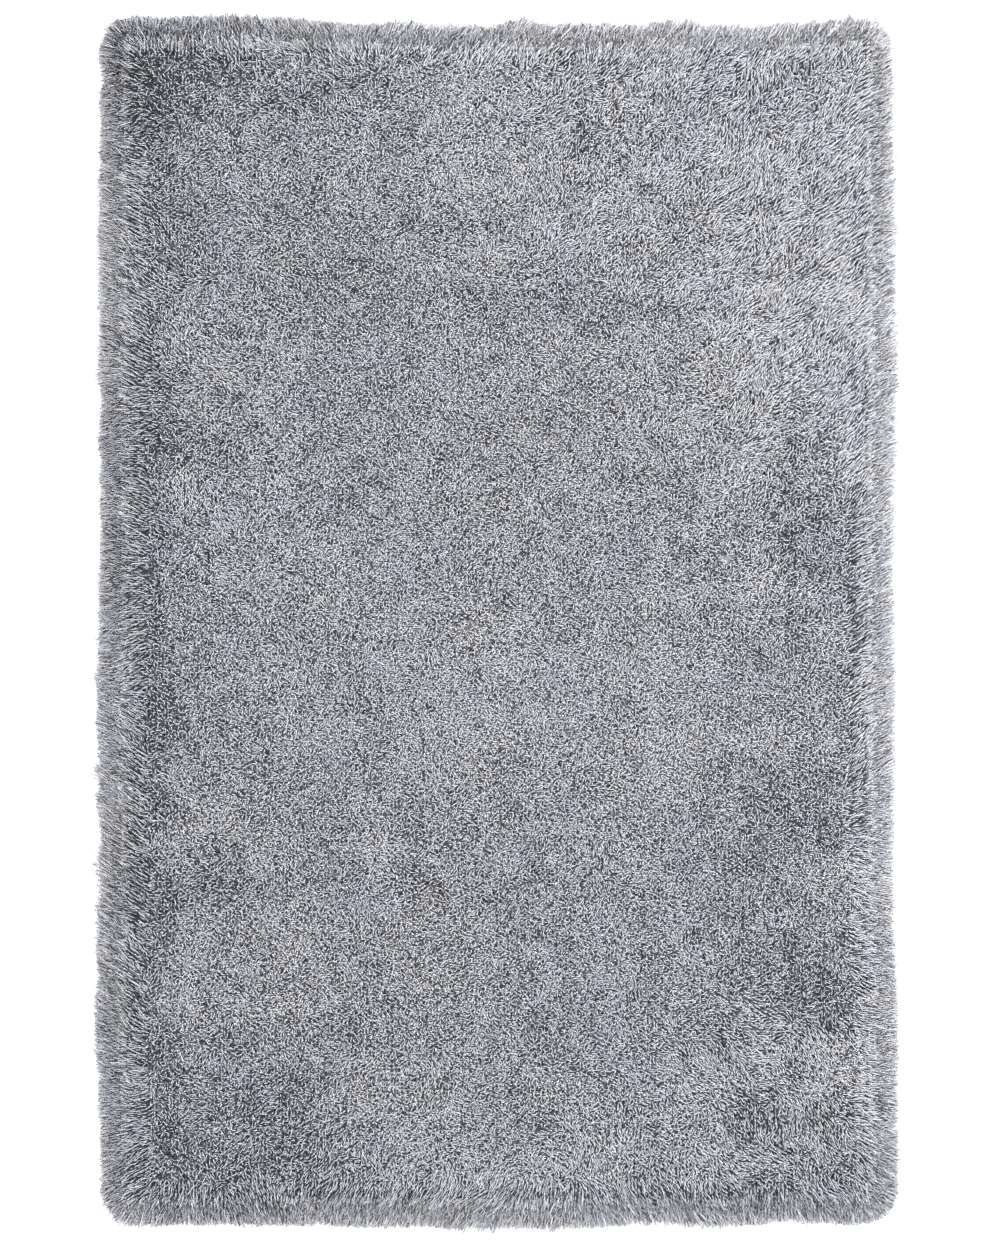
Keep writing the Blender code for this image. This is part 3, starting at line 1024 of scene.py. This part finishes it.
def yarn_material():
    """Silver-grey twisted yarn. Its tone and hue go by the map's column, and it has painted shade at its
    root.
    """
    material, tree, shader = new_material("silver_yarn", 0.52)
    across, along, _ = parted(tree, add_node(tree, "ShaderNodeUVMap", uv_map=MAP_NAME).outputs[0])
    column = math_node(tree, "MULTIPLY", across, TONES * HUES)
    whole = math_node(tree, "FLOOR", column)
    round_it = math_node(tree, "FRACT", column)
    tone = math_node(tree, "FLOOR", math_node(tree, "DIVIDE", whole, HUES))
    tone = math_node(tree, "DIVIDE", tone, TONES)
    hue = math_node(tree, "DIVIDE", math_node(tree, "MODULO", whole, HUES), HUES - 1)
    chance = add_node(tree, "ShaderNodeTexWhiteNoise", noise_dimensions="1D")
    tree.links.new(whole, chance.inputs["W"])
    phase = chance.outputs["Value"]

    turns = math_node(tree, "MULTIPLY_ADD", along, TWIST_TURNS, round_it)
    turns = math_node(tree, "MULTIPLY", math_node(tree, "ADD", turns, phase), 2 * math.pi)
    ply = math_node(tree, "MULTIPLY_ADD", math_node(tree, "SINE", turns), 0.5, 0.5)

    stretch = math_node(tree, "FLOOR", math_node(tree, "MULTIPLY_ADD", along, FLECK_STRETCHES, phase))
    pair = tree.nodes.new("ShaderNodeCombineXYZ")
    tree.links.new(stretch, pair.inputs[0])
    tree.links.new(whole, pair.inputs[1])
    fleck = add_node(tree, "ShaderNodeTexWhiteNoise", noise_dimensions="2D")
    tree.links.new(pair.outputs[0], fleck.inputs["Vector"])

    colour = multiplied(
        tree,
        ramp_node(tree, tone, YARN_COLOURS),
        ramp_node(tree, hue, YARN_TINTS),
        ramp_node(tree, along, ROOT_SHADE),
        ramp_node(tree, ply, PLY_SHADE),
        ramp_node(tree, fleck.outputs["Value"], FLECKS),
    )
    dressed(tree, shader, colour, ply, 0.35, 0.0004)
    shader.inputs["Specular IOR Level"].default_value = 0.20
    shader.inputs["Sheen Weight"].default_value = 0.08
    shader.inputs["Sheen Roughness"].default_value = 0.5
    return material


def foot_material():
    """The matted lower pile: the same yarn lying every way, painted darker as shade, darkest between its
    strands.
    """
    material, tree, shader = new_material("matted_yarn", 0.8)
    where = tree.nodes.new("ShaderNodeTexCoord").outputs["Object"]
    tufts = add_node(tree, "ShaderNodeTexVoronoi", voronoi_dimensions="2D", Scale=TUFTS_PER_METRE)
    tree.links.new(where, tufts.inputs["Vector"])
    way, light, _ = parted(tree, tufts.outputs["Color"])
    turn = add_node(tree, "ShaderNodeVectorRotate", rotation_type="Z_AXIS")
    tree.links.new(where, turn.inputs["Vector"])
    tree.links.new(math_node(tree, "MULTIPLY", way, 2 * math.pi), turn.inputs["Angle"])
    drawn = add_node(tree, "ShaderNodeVectorMath", operation="MULTIPLY")
    tree.links.new(turn.outputs[0], drawn.inputs[0])
    drawn.inputs[1].default_value = (STRAND_NARROWNESS, 1.0, 1.0)
    strands = add_node(tree, "ShaderNodeTexVoronoi", feature="DISTANCE_TO_EDGE", Scale=STRANDS_PER_METRE)
    strands.voronoi_dimensions = "2D"
    tree.links.new(drawn.outputs[0], strands.inputs["Vector"])
    strand = strands.outputs["Distance"]
    shade = ramp_node(tree, light, ((0.2, (0.55, 0.55, 0.57)), (0.8, (1.0, 1.0, 1.0))))
    colour = multiplied(tree, ramp_node(tree, strand, MATTED_STRANDS_AND_SHADE), shade)
    dressed(tree, shader, colour, strand, 0.8, 0.0012)
    shader.inputs["Specular IOR Level"].default_value = 0.1
    return material


def cloth_material():
    """The ground cloth's plain weave, under a thin uneven coat."""
    material, tree, shader = new_material("ground_weave", 0.85)
    where = tree.nodes.new("ShaderNodeTexCoord").outputs["Object"]
    threads = []
    for place in parted(tree, where)[:2]:
        wave = math_node(tree, "SINE", math_node(tree, "MULTIPLY", place, 2 * math.pi / WEAVE_PITCH))
        threads.append(math_node(tree, "ABSOLUTE", wave))
    weave = math_node(tree, "MULTIPLY", *threads)
    cloud = add_node(tree, "ShaderNodeTexNoise", Scale=35.0, Detail=5.0)
    tree.links.new(where, cloud.inputs["Vector"])
    colour = ramp_node(tree, weave, ((0.0, (0.30, 0.29, 0.27)), (0.7, (0.52, 0.51, 0.48))))
    coat = ramp_node(tree, cloud.outputs[0], ((0.3, (0.85, 0.85, 0.84)), (0.7, (1.0, 1.0, 1.0))))
    dressed(tree, shader, multiplied(tree, colour, coat), weave, 0.7, 0.0008)
    return material


def floor_material():
    material, _, shader = new_material("pale_floor", 0.9)
    shader.inputs["Base Color"].default_value = (0.90, 0.90, 0.90, 1.0)
    return material


# ---------------------------------------------------------------- pieces


def cloth_top(x, y):
    return np.full(len(x), CLOTH_LIFT + CLOTH_THICKNESS)


def build_ground():
    cloth = slab_mesh("ground_cloth", CLOTH_INSET, CLOTH_LIFT, cloth_top, CLOTH_PITCH)
    cloth.data.materials.append(cloth_material())
    foot = slab_mesh("pile_foot", FOOT_INSET, CLOTH_LIFT + CLOTH_THICKNESS, foot_top, FOOT_PITCH)
    foot.data.materials.append(foot_material())
    return cloth, foot


def in_bands(yarns, names):
    """The yarns in bands of equal number, from the bottom side to the top, under these names."""
    y = yarns["roots"][:, 1]
    ends = np.quantile(y, np.linspace(0, 1, len(names) + 1))
    ends[-1] += 1
    return {name: picked(yarns, (y >= low) & (y < high)) for name, low, high in zip(names, ends, ends[1:])}


def build_pile(random):
    """All the yarns. The stubs are in four pieces, because one piece would have too many triangles."""
    pieces = [yarn_mesh("rim_long", rim_yarns(random), BENT)]
    pieces.append(yarn_mesh("rim_thatch", thatch_yarns(random), STRAIGHT))
    stubs = in_bands(stub_yarns(random), ("stubs_bottom", "stubs_low", "stubs_high", "stubs_top"))
    for name, band in stubs.items():
        pieces.append(yarn_mesh(name, band, STRAIGHT))
    pieces.append(yarn_mesh("bent", bent_yarns(random), BENT))
    yarn = yarn_material()
    for piece in pieces:
        piece.data.materials.append(yarn)
    return pieces


# ---------------------------------------------------------------- studio

FLOOR_HALF = 6.0

# Soft boxes round the rug. Columns: name, azimuth, elevation, size, energy.
SOFT_BOXES = (
    ("key", 18, 40, 1.0, 330),
    ("fill_top", 100, 42, 1.6, 150),
    ("fill_left", 185, 42, 1.6, 132),
    ("fill_bottom", 275, 42, 1.6, 142),
)
BOX_DISTANCE = 5.0
BOX_COLOUR = (1.0, 0.995, 0.985)
ROOM_COLOUR = (0.93, 0.955, 1.0, 1.0)
ROOM_STRENGTH = 0.84

# The camera looks straight down. The photograph's middle lies a little right of and below the rug's.
PHOTO_PIXELS_HIGH = 1250
METRES_PER_PIXEL = 0.0015
CAMERA_LENS = 100
CAMERA_AIM = (0.0052, -0.0052, 0.020)


def build_stage():
    corners = [(-1, -1, 0), (1, -1, 0), (1, 1, 0), (-1, 1, 0)]
    floor = mesh_object("floor", FLOOR_HALF * np.array(corners), np.array([(0, 1, 2), (0, 2, 3)]))
    floor.data.materials.append(floor_material())


def build_lights():
    for name, azimuth, elevation, size, energy in SOFT_BOXES:
        light = bpy.data.lights.new(name, "AREA")
        light.shape = "DISK"
        light.size = size
        light.energy = energy
        light.color = BOX_COLOUR
        holder = bpy.data.objects.new(name, light)
        holder.location = BOX_DISTANCE * Vector(polar(math.radians(azimuth), math.radians(elevation)))
        holder.rotation_euler = (-holder.location).to_track_quat("-Z", "Y").to_euler()
        bpy.context.scene.collection.objects.link(holder)
    world = bpy.data.worlds.new("studio")
    world.use_nodes = True
    background = world.node_tree.nodes["Background"]
    background.inputs["Color"].default_value = ROOM_COLOUR
    background.inputs["Strength"].default_value = ROOM_STRENGTH
    bpy.context.scene.world = world
    bpy.context.scene.view_settings.view_transform = "Standard"


def build_camera():
    camera = bpy.data.cameras.new("camera")
    camera.lens = CAMERA_LENS
    holder = bpy.data.objects.new("camera", camera)
    away = PHOTO_PIXELS_HIGH * METRES_PER_PIXEL * CAMERA_LENS / camera.sensor_width
    holder.location = (CAMERA_AIM[0], CAMERA_AIM[1], CAMERA_AIM[2] + away)
    bpy.context.scene.collection.objects.link(holder)
    bpy.context.scene.camera = holder


def declare(cloth, foot, yarns):
    for piece in (cloth, foot, *yarns):
        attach(piece, "root")
        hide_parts("shag_rug")


build_camera()
build_lights()
build_stage()
ground_cloth, pile_foot = build_ground()
yarn_pieces = build_pile(np.random.default_rng(SEED))
declare(ground_cloth, pile_foot, yarn_pieces)
